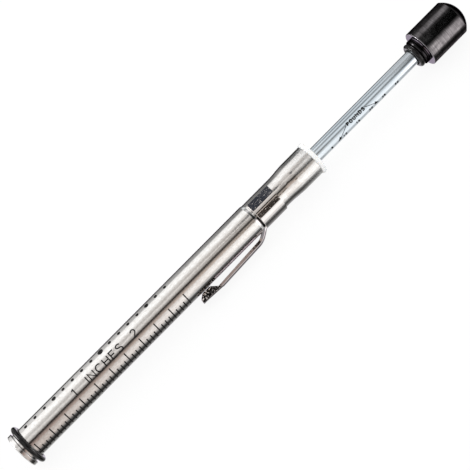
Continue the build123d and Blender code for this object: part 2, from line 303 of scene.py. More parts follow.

# %% [markdown]
# ## Polished nickel on the clip and the foot
#
# The clip is stamped from bright sheet and tumbled, so it mirrors more sharply than the barrel but has
# small dents, and a few dull scuffs on the band. The arm is painted a darker, pinkish grey than the band,
# as a painted reflection, and its outer face is painted darker still, as painted shade. The pressed tip is
# painted near black as painted shade, speckled with bare nickel. The recipe goes from one colour to the
# next along the tool, and to the outer face's painted shade where the surface faces away from the barrel.
# The foot is turned from bar: its lines run round the axis. Noise squeezed in Y and Z changes only along
# the tool and so makes rings.

# %% Bright nickel for sheet and for turned work
def polished_sheet():
    made, tree, metal = new_tree("polished_sheet")
    metal.inputs["Metallic"].default_value = 1.0
    cloud = noise(tree, 240, detail=3)
    speckles = spread(tree, noise(tree, 1900, detail=4), 0, 1, 0.54, 0.64)
    # Painted shade: the pressed tip is near black, speckled with bare nickel.
    tip_painted_shade = blend_colours(tree, speckles, (0.008, 0.007, 0.007), (0.80, 0.76, 0.74))
    # Painted reflection: the arm is a darker, pinkish grey than the band.
    arm_painted_reflection = blend_colours(tree, noise(tree, 900, detail=4), (0.36, 0.32, 0.325), (0.60, 0.56, 0.56))
    on_band = blend_colours(tree, spread(tree, cloud, 0, 1), (0.79, 0.755, 0.735), (0.86, 0.835, 0.82))
    # Painted shade for the arm's outer face.
    outer_face_painted_shade = blend_colours(tree, cloud, (0.20, 0.18, 0.185), (0.34, 0.315, 0.32))
    x = along_tool(tree)
    past_tip = spread(tree, x, 0, 1, tip_end - 0.5 * MM, tip_end)
    past_arm = spread(tree, x, 0, 1, arm_root - 1 * MM, arm_root)
    before_band = spread(tree, x, 1, 0, arm_root - 1 * MM, arm_root)
    # The outer face is where the surface faces away from the barrel: painted shade chosen by direction.
    outward = part_towards(tree, add(tree, "ShaderNodeNewGeometry").outputs["Normal"], clip_side)
    outer_face_shade_mask = joined(tree, "MULTIPLY", spread(tree, outward, 0, 1, 0.3, 0.7), before_band)
    tint = mix_colours(tree, past_tip, tip_painted_shade, arm_painted_reflection)
    tint = mix_colours(tree, past_arm, tint, on_band)
    tint = mix_colours(tree, outer_face_shade_mask, tint, outer_face_painted_shade)
    tree.links.new(tint, metal.inputs["Base Color"])
    scuffs = spread(tree, noise(tree, 2600, detail=4), 0, 0.3, 0.56, 0.7)
    dull = joined(tree, "MULTIPLY", scuffs, past_arm)
    roughness = joined(tree, "MAXIMUM", spread(tree, cloud, 0.04, 0.08), dull)
    tree.links.new(roughness, metal.inputs["Roughness"])
    dent_bump = raised(tree, noise(tree, 1500, detail=2), 4e-6)
    pits = noise(tree, 5200, detail=1)
    tree.links.new(raised(tree, pits, 1e-6, under=dent_bump), metal.inputs["Normal"])
    return made


def turned_nickel():
    made, tree, metal = new_tree("turned_nickel")
    metal.inputs["Metallic"].default_value = 1.0
    cloud = noise(tree, 300, detail=3)
    tint = blend_colours(tree, spread(tree, cloud, 0, 1), (0.80, 0.785, 0.765), (0.87, 0.86, 0.85))
    tree.links.new(tint, metal.inputs["Base Color"])
    rings = noise(tree, 6500, detail=3, stretch=(1, 0.02, 0.02))
    tree.links.new(spread(tree, cloud, 0.1, 0.17), metal.inputs["Roughness"])
    tree.links.new(raised(tree, rings, 4e-6), metal.inputs["Normal"])
    return made


print("made", polished_sheet.__name__, turned_nickel.__name__)

# %% [markdown]
# ## Zinc on the rod
#
# The rod is cold drawn steel with a blue zinc plate. The die leaves plain lines along it, which show as
# streaks of light and dark beside each other, so its long noise is deeper than the barrel's and the
# roughness follows it.

# %% Bluish drawn zinc
def drawn_zinc():
    made, tree, metal = new_tree("drawn_zinc")
    metal.inputs["Metallic"].default_value = 1.0
    lines = noise(tree, 2600, detail=4, stretch=(0.012, 1, 1))
    cloud = noise(tree, 500, detail=3, stretch=(0.2, 1, 1))
    tint = blend_colours(tree, spread(tree, lines, 0, 1), (0.67, 0.735, 0.78), (0.86, 0.90, 0.93))
    tree.links.new(tint, metal.inputs["Base Color"])
    tree.links.new(spread(tree, cloud, 0.09, 0.15), metal.inputs["Roughness"])
    tree.links.new(raised(tree, lines, 8e-6), metal.inputs["Normal"])
    return made


print("made", drawn_zinc.__name__)

# %% [markdown]
# ## The knob, the rubber and the nylon
#
# The knob is turned and blackened, so it is a dark metal with rings round it: wide uneven ones from the
# feed of the tool and hair lines between them. Handling has worn the black of the grip unevenly. The dome
# and the hub are painted a deeper black, as painted shade, so they mirror little. The grip's flat underside
# is painted a pale lilac, a painted reflection of what it faces at a glancing angle. A dark edge tint keeps
# the black from turning white where it is seen at a glancing angle.
# Rubber isn't a metal: its colour stays nearly black and only its gloss shows the lights. The nylon
# bushing is white and lets a little light in under its skin.

# %% Black turned metal, rubber and nylon
def blackened_metal():
    made, tree, metal = new_tree("blackened_metal")
    metal.inputs["Metallic"].default_value = 1.0
    metal.inputs["Specular Tint"].default_value = (0.25, 0.24, 0.25, 1)
    rings = noise(tree, 900, detail=3, stretch=(1, 0.03, 0.03))
    hair = noise(tree, 3800, detail=4, stretch=(1, 0.05, 0.05))
    cloud = noise(tree, 420, detail=4)
    patches = noise(tree, 700, detail=5, stretch=(0.6, 1, 1))
    worn = joined(tree, "MULTIPLY", spread(tree, hair, 0.4, 1), spread(tree, patches, 0.35, 1))
    on_grip = blend_colours(tree, worn, (0.035, 0.033, 0.035), (0.31, 0.30, 0.30))
    # Painted reflection: the grip's underside is a pale lilac, as if it mirrored what it faces.
    underside_painted_reflection = blend_colours(tree, cloud, (0.54, 0.51, 0.56), (0.68, 0.65, 0.70))
    # Painted shade: the dome and the hub get a deeper black, so they mirror little.
    dome_and_hub_painted_shade = blend_colours(tree, cloud, (0.012, 0.011, 0.012), (0.05, 0.048, 0.05))
    x = along_tool(tree)
    past_hub = spread(tree, x, 0, 1, grip_start - 0.2 * MM, grip_start - 0.1 * MM)
    before_grip = spread(tree, x, 1, 0, grip_start + 0.02 * MM, grip_start + 0.12 * MM)
    before_dome = spread(tree, x, 1, 0, tool_end - DOME_FROM, tool_end - DOME_TO)
    between_black_ends = joined(tree, "MULTIPLY", past_hub, before_dome)
    tint = mix_colours(tree, before_grip, on_grip, underside_painted_reflection)
    tint = mix_colours(tree, between_black_ends, dome_and_hub_painted_shade, tint)
    tree.links.new(tint, metal.inputs["Base Color"])
    tree.links.new(spread(tree, cloud, 0.08, 0.13), metal.inputs["Roughness"])
    ring_bump = raised(tree, rings, 2e-6)
    tree.links.new(raised(tree, hair, 0.7e-6, under=ring_bump), metal.inputs["Normal"])
    return made


def black_rubber():
    made, tree, rubber = new_tree("black_rubber")
    cloud = noise(tree, 1200, detail=3)
    tint = blend_colours(tree, cloud, (0.003, 0.003, 0.003), (0.009, 0.0085, 0.0085))
    tree.links.new(tint, rubber.inputs["Base Color"])
    tree.links.new(spread(tree, cloud, 0.07, 0.14), rubber.inputs["Roughness"])
    rubber.inputs["IOR"].default_value = 1.38
    tree.links.new(raised(tree, noise(tree, 5000, detail=2), 2e-6), rubber.inputs["Normal"])
    return made


def white_nylon():
    made, tree, nylon = new_tree("white_nylon")
    cloud = noise(tree, 700, detail=3)
    tint = blend_colours(tree, cloud, (0.80, 0.80, 0.79), (0.88, 0.88, 0.875))
    tree.links.new(tint, nylon.inputs["Base Color"])
    tree.links.new(spread(tree, cloud, 0.38, 0.52), nylon.inputs["Roughness"])
    nylon.inputs["Subsurface Weight"].default_value = 0.3
    nylon.inputs["Subsurface Radius"].default_value = (1.0, 0.9, 0.8)
    nylon.inputs["Subsurface Scale"].default_value = 0.0012
    tree.links.new(raised(tree, noise(tree, 3000, detail=2), 4e-6), nylon.inputs["Normal"])
    return made


print("made", blackened_metal.__name__, black_rubber.__name__, white_nylon.__name__)

# %% [markdown]
# ## Steel and brass inside
#
# The retaining ring is stamped spring steel, phosphated and oiled, the guide under it is plain turned
# brass, and the spring is oiled music wire. None of them shows, but whoever opens the tool sees them.

# %% Inner metals
def oiled_steel():
    made, tree, metal = new_tree("oiled_steel")
    metal.inputs["Metallic"].default_value = 1.0
    cloud = noise(tree, 900, detail=4)
    tint = blend_colours(tree, cloud, (0.10, 0.10, 0.11), (0.24, 0.235, 0.23))
    tree.links.new(tint, metal.inputs["Base Color"])
    tree.links.new(spread(tree, cloud, 0.28, 0.45), metal.inputs["Roughness"])
    tree.links.new(raised(tree, noise(tree, 5000), 3e-6), metal.inputs["Normal"])
    return made


def turned_brass():
    made, tree, metal = new_tree("turned_brass")
    metal.inputs["Metallic"].default_value = 1.0
    rings = noise(tree, 4500, detail=3, stretch=(1, 0.02, 0.02))
    tint = blend_colours(tree, noise(tree, 500), (0.72, 0.53, 0.24), (0.86, 0.68, 0.36))
    tree.links.new(tint, metal.inputs["Base Color"])
    tree.links.new(spread(tree, rings, 0.2, 0.34), metal.inputs["Roughness"])
    tree.links.new(raised(tree, rings, 4e-6), metal.inputs["Normal"])
    return made


def spring_wire():
    made, tree, metal = new_tree("spring_wire")
    metal.inputs["Metallic"].default_value = 1.0
    cloud = noise(tree, 1600, detail=4)
    tint = blend_colours(tree, cloud, (0.42, 0.41, 0.40), (0.66, 0.65, 0.64))
    tree.links.new(tint, metal.inputs["Base Color"])
    tree.links.new(spread(tree, cloud, 0.22, 0.36), metal.inputs["Roughness"])
    tree.links.new(raised(tree, noise(tree, 7000), 3e-6), metal.inputs["Normal"])
    return made


print("made", oiled_steel.__name__, turned_brass.__name__, spring_wire.__name__)

# %% [markdown]
# ## Dressing the solids
#
# Each loaded solid keeps its mesh and gets one finish, apart from the plain spring, which a wound one
# replaces further down. The rubber rings share theirs, as they would if they came out of one bag.

# %% Assign finishes
rubber_finish = black_rubber()
finishes = {
    "barrel_tube": satin_nickel(),
    "foot_plug": turned_nickel(),
    "pocket_clip": polished_sheet(),
    "top_bushing": white_nylon(),
    "plunger_rod": drawn_zinc(),
    "knob": blackened_metal(),
    "deflection_ring": rubber_finish,
    "force_ring": rubber_finish,
    "retaining_ring": oiled_steel(),
    "spring_guide": turned_brass(),
}
for node_name, finish in finishes.items():
    mesh = nodes[node_name].data
    mesh.materials.clear()
    mesh.materials.append(finish)
print("dressed", len(finishes), "solids")

# %% [markdown]
# ## Printing on a round surface
#
# The scales are black ink, printed on the metal and baked. A mark is drawn flat first: X runs along the
# tool and Y runs up the letters, as on paper. Then the flat sheet is cut into narrow strips, given the
# thickness of a coat of ink, and rolled onto the cylinder. Strips matter, because a face can't bend:
# without cuts a wide mark would sink into the barrel in its middle.

# %% Roll flat marks onto a cylinder
INK_THICKNESS = 0.012 * MM
INK_SINK = 0.03 * MM
STRIP_WIDTH = 0.22 * MM


def flat_sheet(outlines):
    """A flat mesh of separate faces, one for each list of (x, y) corners."""
    sheet = bmesh.new()
    for corners in outlines:
        sheet.faces.new([sheet.verts.new((x, y, 0)) for x, y in corners])
    return sheet


def cut_in_strips(sheet):
    """Cuts a flat mesh along lines that run with the tool."""
    heights = [v.co.y for v in sheet.verts]
    lowest, highest = min(heights), max(heights)
    for step in range(1, math.ceil((highest - lowest) / STRIP_WIDTH)):
        line = Vector((0, lowest + step * STRIP_WIDTH, 0))
        parts = sheet.verts[:] + sheet.edges[:] + sheet.faces[:]
        bmesh.ops.bisect_plane(sheet, geom=parts, plane_co=line, plane_no=(0, 1, 0), dist=1e-8)


def print_on(name, sheet, radius, body, ink):
    """Thickens a flat sheet, rolls it onto a cylinder round the tool's axis and lets it ride a body."""
    cut_in_strips(sheet)
    under = sheet.faces[:]
    grown = bmesh.ops.extrude_face_region(sheet, geom=under, use_keep_orig=True)
    for part in grown["geom"]:
        if isinstance(part, bmesh.types.BMVert):
            part.co.z += INK_THICKNESS + INK_SINK
    bmesh.ops.recalc_face_normals(sheet, faces=sheet.faces[:])
    for corner in sheet.verts:
        angle = -corner.co.y / radius
        reach = radius - INK_SINK + corner.co.z
        across = face_side * math.cos(angle) + clip_side * math.sin(angle)
        corner.co = tool_way * corner.co.x + across * reach
    mesh = bpy.data.meshes.new(name)
    sheet.to_mesh(mesh)
    sheet.free()
    piece = bpy.data.objects.new(name, mesh)
    bpy.context.scene.collection.objects.link(piece)
    mesh.materials.append(ink)
    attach(piece, body)
    print(name, "faces", len(mesh.polygons))


def scale_ink():
    """Baked black ink with a slightly uneven film."""
    made, tree, film = new_tree("scale_ink")
    cloud = noise(tree, 2600, detail=3)
    tint = blend_colours(tree, spread(tree, cloud, 0, 1), (0.003, 0.003, 0.003), (0.014, 0.013, 0.013))
    tree.links.new(tint, film.inputs["Base Color"])
    tree.links.new(spread(tree, cloud, 0.4, 0.6), film.inputs["Roughness"])
    film.inputs["Specular IOR Level"].default_value = 0.15
    tree.links.new(raised(tree, cloud, 3e-6), film.inputs["Normal"])
    return made


ink = scale_ink()
print("made", ink.name)

# %% [markdown]
# ## The inch scale
#
# The scale on the barrel measures how far the track is pushed: long lines at every quarter inch and
# three short ones between, up to two and three quarters. An inch is 25.4 mm, so the lines are placed by
# counting sixteenths from the scale's own zero. It lies a little below the foot's face, where the whole
# row stands as near as it can to the photograph's. All ticks end on one line on the clip's side. A tick
# that the rubber ring would cover at rest is left out.

# %% Inch ticks
INCH = 25.4 * MM
scale_zero = -1.38 * MM
TICK_WIDTH = 0.4 * MM
LONG_TICK = (12.5, 68)
SHORT_TICK = (34, 68)
FIRST_SIXTEENTH, LAST_SIXTEENTH = 4, 44


def tick_outline(x, from_deg, to_deg, width, radius):
    """A line round the tool between two angles, as a flat rectangle."""
    top, bottom = -math.radians(from_deg) * radius, -math.radians(to_deg) * radius
    left, right = x - width / 2, x + width / 2
    return [(left, bottom), (right, bottom), (right, top), (left, top)]


ticks = []
for sixteenth in range(FIRST_SIXTEENTH, LAST_SIXTEENTH + 1):
    span = LONG_TICK if sixteenth % 4 == 0 else SHORT_TICK
    place = scale_zero + sixteenth * INCH / 16
    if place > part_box("deflection_ring")[1].x:
        ticks.append(tick_outline(place, *span, TICK_WIDTH, barrel_radius))
print_on("inch_scale_ticks", flat_sheet(ticks), barrel_radius, "barrel", ink)

# %% [markdown]
# ## The row of dots
#
# A second scale on the far side of the barrel is a row of dots, one for every ten sixty-fourths of an
# inch, with a larger dot at every fifth and the largest at the tenth. It lets the ring be read when the
# gauge lies the other way.

# %% Dots
DOT_ANGLE = -54.5
DOT_STEP = INCH * 10 / 64
SMALL_DOT, LARGE_DOT, LARGEST_DOT = 1.2 * MM, 1.6 * MM, 2.05 * MM
DOT_CORNERS = 20
FIRST_DOT, LAST_DOT = 2, 17


def dot_outline(x, angle_deg, diameter, radius):
    """A round dot as a flat polygon."""
    middle = -math.radians(angle_deg) * radius
    steps = [2 * math.pi * k / DOT_CORNERS for k in range(DOT_CORNERS)]
    return [(x + diameter / 2 * math.cos(a), middle + diameter / 2 * math.sin(a)) for a in steps]


dots = []
for count in range(FIRST_DOT, LAST_DOT + 1):
    size = LARGEST_DOT if count == 10 else LARGE_DOT if count % 5 == 0 else SMALL_DOT
    dots.append(dot_outline(scale_zero + count * DOT_STEP, DOT_ANGLE, size, barrel_radius))
print_on("scale_dots", flat_sheet(dots), barrel_radius, "barrel", ink)

# %% [markdown]
# ## Figures and the unit's name
#
# The print is plain engraver's lettering: every letter is one pen line of even width. So each letter is
# kept as the way the pen goes, in a box of height 1 with its foot at 0, and bowls are arcs. A pen line
# becomes a ribbon of faces whose corners are mitred, and the ribbon is printed like any other mark.

# %% Letters as pen lines
ARC_STEP_DEG = 22
SHARPEST_MITRE = 0.5


def arc(middle_x, middle_y, half_width, half_height, from_deg, to_deg):
    """Points on part of an oval. Falling angles run clockwise."""
    steps = max(4, round(abs(to_deg - from_deg) / ARC_STEP_DEG))
    angles = [math.radians(from_deg + (to_deg - from_deg) * k / steps) for k in range(steps + 1)]
    return [(middle_x + half_width * math.cos(a), middle_y + half_height * math.sin(a)) for a in angles]


PEN_LINES = {
    "I": (0.0, [[(0, 0), (0, 1)]]),
    "N": (0.78, [[(0, 0), (0, 1), (0.78, 0), (0.78, 1)]]),
    "C": (0.84, [arc(0.46, 0.5, 0.46, 0.5, 42, 318)]),
    "H": (0.74, [[(0, 0), (0, 1)], [(0.74, 0), (0.74, 1)], [(0, 0.5), (0.74, 0.5)]]),
    "E": (0.66, [[(0.66, 1), (0, 1), (0, 0), (0.66, 0)], [(0, 0.5), (0.6, 0.5)]]),
    "S": (0.72, [arc(0.36, 0.76, 0.33, 0.24, 20, 270) + arc(0.36, 0.26, 0.36, 0.26, 90, -160)[1:]]),
    "P": (0.6, [[(0, 0), (0, 1)] + arc(0.3, 0.74, 0.3, 0.26, 90, -90) + [(0, 0.48)]]),
    "O": (0.86, [arc(0.43, 0.5, 0.43, 0.5, 90, 450)]),
    "U": (0.72, [[(0, 1)] + arc(0.36, 0.34, 0.36, 0.34, 180, 360) + [(0.72, 1)]]),
    "D": (0.74, [[(0, 0), (0, 1)] + arc(0.3, 0.5, 0.44, 0.5, 90, -90) + [(0, 0)]]),
    "0": (0.6, [arc(0.3, 0.5, 0.3, 0.5, 90, 450)]),
    "1": (0.26, [[(0, 0.8), (0.26, 1), (0.26, 0)]]),
    "2": (0.62, [arc(0.3, 0.7, 0.3, 0.3, 165, -25) + [(0, 0), (0.64, 0)]]),
    "3": (0.6, [arc(0.29, 0.76, 0.27, 0.24, 150, -90) + arc(0.29, 0.27, 0.31, 0.27, 90, -150)[1:]]),
    "5": (0.6, [[(0.55, 1), (0.07, 1), (0.02, 0.56)] + arc(0.28, 0.32, 0.31, 0.31, 125, -150)]),
}


def ribbon(points, width):
    """A pen line as quads that meet in mitred corners."""
    ways = [(Vector(b) - Vector(a)).normalized() for a, b in zip(points, points[1:])]
    closed = (Vector(points[0]) - Vector(points[-1])).length < 1e-9
    sides = []
    for k, point in enumerate(points):
        before = ways[k - 1] if k > 0 or closed else ways[0]
        after = ways[k] if k < len(ways) else ways[0] if closed else ways[-1]
        mean = (before + after).normalized()
        reach = width / 2 / max(SHARPEST_MITRE, mean.dot(after))
        across = Vector((-mean.y, mean.x)) * reach
        sides.append((tuple(Vector(point) - across), tuple(Vector(point) + across)))
    return [[low, next_low, next_high, high]
            for (low, high), (next_low, next_high) in zip(sides, sides[1:])]


def written(text, x_from, x_to, base_deg, height, radius, pen):
    """A word as a flat sheet: it fills x_from to x_to and stands on a line at an angle round the tool."""
    length = (x_to - x_from - pen) / height
    widths = sum(PEN_LINES[letter][0] for letter in text)
    gap = (length - widths) / max(1, len(text) - 1)
    base = -math.radians(base_deg) * radius
    start, outlines = (x_from + pen / 2) / height, []
    for letter in text:
        width, lines = PEN_LINES[letter]
        for line in lines:
            outlines += ribbon([((start + x) * height, base + y * height) for x, y in line], pen)
        start += width + gap
    sheet = flat_sheet(outlines)
    bmesh.ops.remove_doubles(sheet, verts=sheet.verts[:], dist=1e-7)
    return sheet


print("letters known", "".join(PEN_LINES))

# %% [markdown]
# ## The barrel's figures
#
# The figures 1 and 2 stand at their inch marks, and the unit's name stands in the inch between them.
# All three stand on one line, just above the long ticks.

# %% Figures and unit on the barrel
LETTER_HEIGHT = 2.5 * MM
LETTER_BASE = 1.8
LETTER_PEN = 0.42 * MM
BARREL_TEXTS = [
    ("inch_figure_one", "1", 1, -0.45 * MM, 0.52 * MM),
    ("inch_figure_two", "2", 2, -0.85 * MM, 0.85 * MM),
    ("inch_word", "INCHES", 1, 5.45 * MM, 20.4 * MM),
]
for label, text, inches, left, right in BARREL_TEXTS:
    mark = scale_zero + inches * INCH
    sheet = written(text, mark + left, mark + right, LETTER_BASE, LETTER_HEIGHT, barrel_radius, LETTER_PEN)
    print_on(label, sheet, barrel_radius, "barrel", ink)

# %% [markdown]
# ## The force scale on the rod
#
# As the rod is pushed in, the small ring stays where the bushing pushed it and marks the force. The rod
# carries the figures 5 to 30 at equal steps, because a spring's force grows evenly with its travel. The
# unit's name stands beside them, with a line from each of its ends to an arrowhead in the row.

# %% Rod figures, unit and pointers
FIRST_FIGURE_X = 134.0 * MM
FIGURE_STEP = 5.8 * MM
FIGURE_COUNT = 6
ONE_FIGURE, TWO_FIGURES = 0.42 * MM, 0.85 * MM
FIGURE_HEIGHT = 0.8 * MM
FIGURE_BASE = 66
FIGURE_PEN = 0.3 * MM
for count in range(FIGURE_COUNT):
    middle = FIRST_FIGURE_X + count * FIGURE_STEP
    text = str(5 * (count + 1))
    half = ONE_FIGURE if len(text) == 1 else TWO_FIGURES
    sheet = written(text, middle - half, middle + half, FIGURE_BASE, FIGURE_HEIGHT, rod_radius, FIGURE_PEN)
    print_on("force_figure_" + text, sheet, rod_radius, "plunger", ink)

UNIT_MIDDLE = 145.9 * MM
UNIT_LENGTH = 7.8 * MM
UNIT_HEIGHT = 1.0 * MM
UNIT_BASE = 19
UNIT_PEN = 0.36 * MM
unit_from, unit_to = UNIT_MIDDLE - UNIT_LENGTH / 2, UNIT_MIDDLE + UNIT_LENGTH / 2
sheet = written("POUNDS", unit_from, unit_to, UNIT_BASE, UNIT_HEIGHT, rod_radius, UNIT_PEN)
print_on("force_word", sheet, rod_radius, "plunger", ink)

POINTER_WIDTH, HEAD_LENGTH, HEAD_WIDTH = 0.2 * MM, 1.7 * MM, 1.2 * MM
POINTER_FROM, POINTER_TO = 8, 60
POINTER_GAP = 0.3 * MM
FIRST_TIP, SECOND_TIP = 136.6 * MM, 154.9 * MM


def pointer_outlines(start, tip, width, head_length, head_width):
    """A thin line from start to tip with a solid head, as flat outlines."""
    start, tip = Vector(start), Vector(tip)
    way = (tip - start).normalized()
    side = Vector((-way.y, way.x))
    neck = tip - way * head_length
    head = [neck - side * head_width / 2, tip, neck + side * head_width / 2]
    return ribbon([tuple(start), tuple(neck)], width) + [[tuple(p) for p in head]]


def on_rod(x, angle_deg):
    """A point of the rod's unrolled surface."""
    return (x, -math.radians(angle_deg) * rod_radius)


pointers = []
for start_x, tip_x in ((unit_from - POINTER_GAP, FIRST_TIP), (unit_to + POINTER_GAP, SECOND_TIP)):
    start, tip = on_rod(start_x, POINTER_FROM), on_rod(tip_x, POINTER_TO)
    pointers += pointer_outlines(start, tip, POINTER_WIDTH, HEAD_LENGTH, HEAD_WIDTH)
print_on("force_pointers", flat_sheet(pointers), rod_radius, "plunger", ink)

# %% [markdown]
# ## The spring
#
# The spring sits between the foot's pilot and the guide. The solid that stands for it is replaced by a
# wound wire: a ring of points is carried along a helix and skinned. The last turn at each end is closed,
# as on a real compression spring, which means that the pitch falls to the wire's thickness there.

# %% Wind the spring
WIRE = 1.4 * MM
ACTIVE_TURNS = 22.6
CLOSED_TURNS = 1.0
CLOSED_PITCH = 1.02 * WIRE
STEPS_PER_TURN = 28
WIRE_CORNERS = 10
SMALL_TURN = 0.01
spring_low, spring_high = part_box("plunger_spring")
mean_radius = spring_high.y - WIRE / 2
wire_from, wire_to = spring_low.x + WIRE / 2, spring_high.x - WIRE / 2
closed_rise = CLOSED_TURNS * CLOSED_PITCH
open_rise = wire_to - wire_from - 2 * closed_rise


def helix_point(turns):
    """A point on the wire's middle line after some turns from its lower end."""
    if turns < CLOSED_TURNS:
        x = turns / CLOSED_TURNS * closed_rise
    elif turns < CLOSED_TURNS + ACTIVE_TURNS:
        x = closed_rise + (turns - CLOSED_TURNS) / ACTIVE_TURNS * open_rise
    else:
        x = closed_rise + open_rise + (turns - CLOSED_TURNS - ACTIVE_TURNS) / CLOSED_TURNS * closed_rise
    angle = 2 * math.pi * turns
    return Vector((wire_from + x, mean_radius * math.cos(angle), mean_radius * math.sin(angle)))


def wound_spring():
    """The wire as a closed mesh tube with flat ends."""
    total = ACTIVE_TURNS + 2 * CLOSED_TURNS
    count = round(total * STEPS_PER_TURN)
    corner_angles = [2 * math.pi * corner / WIRE_CORNERS for corner in range(WIRE_CORNERS)]
    wire = bmesh.new()
    rings = []
    for step in range(count + 1):
        turns = total * step / count
        here = helix_point(turns)
        ahead = helix_point(min(total, turns + SMALL_TURN)) - helix_point(max(0, turns - SMALL_TURN))
        outward = Vector((0, here.y, here.z)).normalized()
        across = ahead.normalized().cross(outward).normalized()
        ways = [outward * math.cos(angle) + across * math.sin(angle) for angle in corner_angles]
        rings.append([wire.verts.new(here + way * WIRE / 2) for way in ways])
    for first, second in zip(rings, rings[1:]):
        for corner in range(WIRE_CORNERS):
            after = (corner + 1) % WIRE_CORNERS
            wire.faces.new((first[corner], first[after], second[after], second[corner]))
    wire.faces.new(rings[0][::-1])
    wire.faces.new(rings[-1])
    bmesh.ops.recalc_face_normals(wire, faces=wire.faces[:])
    for face in wire.faces:
        face.smooth = len(face.verts) == 4
    mesh = bpy.data.meshes.new("wound_spring")
    wire.to_mesh(mesh)
    wire.free()
    mesh.materials.append(spring_wire())
    return mesh


spring = bpy.data.objects.new("wound_spring", wound_spring())
bpy.context.scene.collection.objects.link(spring)
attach(spring, "barrel")
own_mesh(spring)
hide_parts("plunger_spring")

# %% [markdown]
# ## White all round
#
# The tool is lit by a white world, as in a tent of paper. A mirror in an even white world looks flat,
# though, so reflections see a room instead: a pale floor and ceiling with a darker horizon between them.
# The world tells the two apart by the kind of ray.

# %% World
def tent_world():
    """White all round for light, and a room with a darker horizon for reflections."""
    world = bpy.data.worlds.new("tent")
    world.use_nodes = True
    tree = world.node_tree
    light = tree.nodes["Background"]
    light.inputs["Color"].default_value = (1.0, 1.0, 1.0, 1)
    direction = add(tree, "ShaderNodeTexCoord")
    height = add(tree, "ShaderNodeSeparateXYZ", Vector=direction.outputs["Generated"])
    room_tones = [(-1.0, 0.62), (-0.35, 0.9), (-0.16, 0.32), (0.06, 0.22), (0.12, 0.7), (0.45, 1.0),
                  (0.7, 0.6), (1.0, 0.75)]
    tones = paint_ramp(tree, spread(tree, height.outputs["Z"], 0, 1, -1, 1), room_tones, (1, 0.99, 0.98))
    room = add(tree, "ShaderNodeBackground", Color=tones, Strength=1.0)
    rays = add(tree, "ShaderNodeLightPath")
    mixed = add(tree, "ShaderNodeMixShader", Fac=rays.outputs["Is Glossy Ray"])
    tree.links.new(light.outputs["Background"], mixed.inputs[1])
    tree.links.new(room.outputs["Background"], mixed.inputs[2])
    tree.links.new(mixed.outputs["Shader"], tree.nodes["World Output"].inputs["Surface"])
    bpy.context.scene.world = world


tent_world()
print("world", bpy.context.scene.world.name)

# %% [markdown]
# ## A white floor
#
# The paper under the tool must stay white right up to the tool, as in a catalogue picture, and yet hold
# a faint shadow where the tool touches it. So nine tenths of what is seen of it glow with a strength of
# 1, and one tenth is lit paper. Reflections in the tool leave the floor out: what they show of a floor is
# part of the cards further down.

# %% Floor
GLOWING_SHARE = 0.9
HALF_FLOOR = 6.0


def plain_sheet(name, corners, material):
    """A stage sheet from four corners."""
    mesh = bpy.data.meshes.new(name)
    mesh.from_pydata([tuple(c) for c in corners], [], [(0, 1, 2, 3)])
    mesh.materials.append(material)
    made = bpy.data.objects.new(name, mesh)
    bpy.context.scene.collection.objects.link(made)
    return made


def floor_paper():
    """White paper that mostly glows by itself where it is seen, and takes lamp light for the rest."""
    made, tree, paper = new_tree("floor_paper")
    tint = blend_colours(tree, noise(tree, 40, detail=2), (0.90, 0.90, 0.90), (0.93, 0.93, 0.93))
    tree.links.new(tint, paper.inputs["Base Color"])
    paper.inputs["Roughness"].default_value = 0.9
    paper.inputs["Specular IOR Level"].default_value = 0.1
    rays = add(tree, "ShaderNodeLightPath")
    seen = rays.outputs["Is Camera Ray"]
    for other in ("Is Glossy Ray", "Is Transmission Ray"):
        seen = joined(tree, "MAXIMUM", seen, rays.outputs[other])
    glow = add(tree, "ShaderNodeEmission", Color=(1, 1, 1, 1), Strength=1.0)
    mixed = add(tree, "ShaderNodeMixShader", Fac=spread(tree, seen, 0, GLOWING_SHARE, 0, 1))
    tree.links.new(paper.outputs["BSDF"], mixed.inputs[1])
    tree.links.new(glow.outputs["Emission"], mixed.inputs[2])
    tree.links.new(mixed.outputs["Shader"], tree.nodes["Material Output"].inputs["Surface"])
    return made


floor_z = cad_box[0].z
floor_corners = [(-HALF_FLOOR, -HALF_FLOOR, floor_z), (HALF_FLOOR, -HALF_FLOOR, floor_z),
                 (HALF_FLOOR, HALF_FLOOR, floor_z), (-HALF_FLOOR, HALF_FLOOR, floor_z)]
floor = plain_sheet("floor", floor_corners, floor_paper())
floor.visible_glossy = False
print("floor at mm", round(floor_z / MM, 2))

# %% [markdown]
# ## Lamps
#
# Two large soft lamps light the rubber, the nylon and the paper: one overhead and a bit behind, one low
# on the camera's side. They are hidden from reflections, because the metals get cards of their own.

# %% Lamps
TENT_RADIUS = 0.55


def soft_lamp(name, from_up_deg, half_angle_deg, x_from, x_to, radiance, colour):
    """A flat area lamp round the tool, at an angle from straight up that is positive towards the camera."""
    a = math.radians(from_up_deg)
    data = bpy.data.lights.new(name, "AREA")
    data.shape = "RECTANGLE"
    data.size, data.size_y = x_to - x_from, 2 * TENT_RADIUS * math.tan(math.radians(half_angle_deg))
    data.energy = 4 * radiance * data.size * data.size_y
    data.color = colour
    lamp = bpy.data.objects.new(name, data)
    bpy.context.scene.collection.objects.link(lamp)
    back = Vector((0, -math.sin(a), math.cos(a)))
    place = tool_way * (x_from + x_to) / 2 + back * TENT_RADIUS
    turned = Matrix((tool_way, back.cross(tool_way), back)).transposed().to_4x4()
    lamp.matrix_world = Matrix.Translation(place) @ turned
    lamp.visible_camera = lamp.visible_glossy = False
    print(name, "power W", round(data.energy, 2))


soft_lamp("overhead_lamp", -34, 30, -0.6, 0.6, 0.5, (0.97, 0.985, 1.0))
soft_lamp("low_lamp", 78, 10, -0.2, 0.8, 0.3, (1.0, 0.99, 0.97))

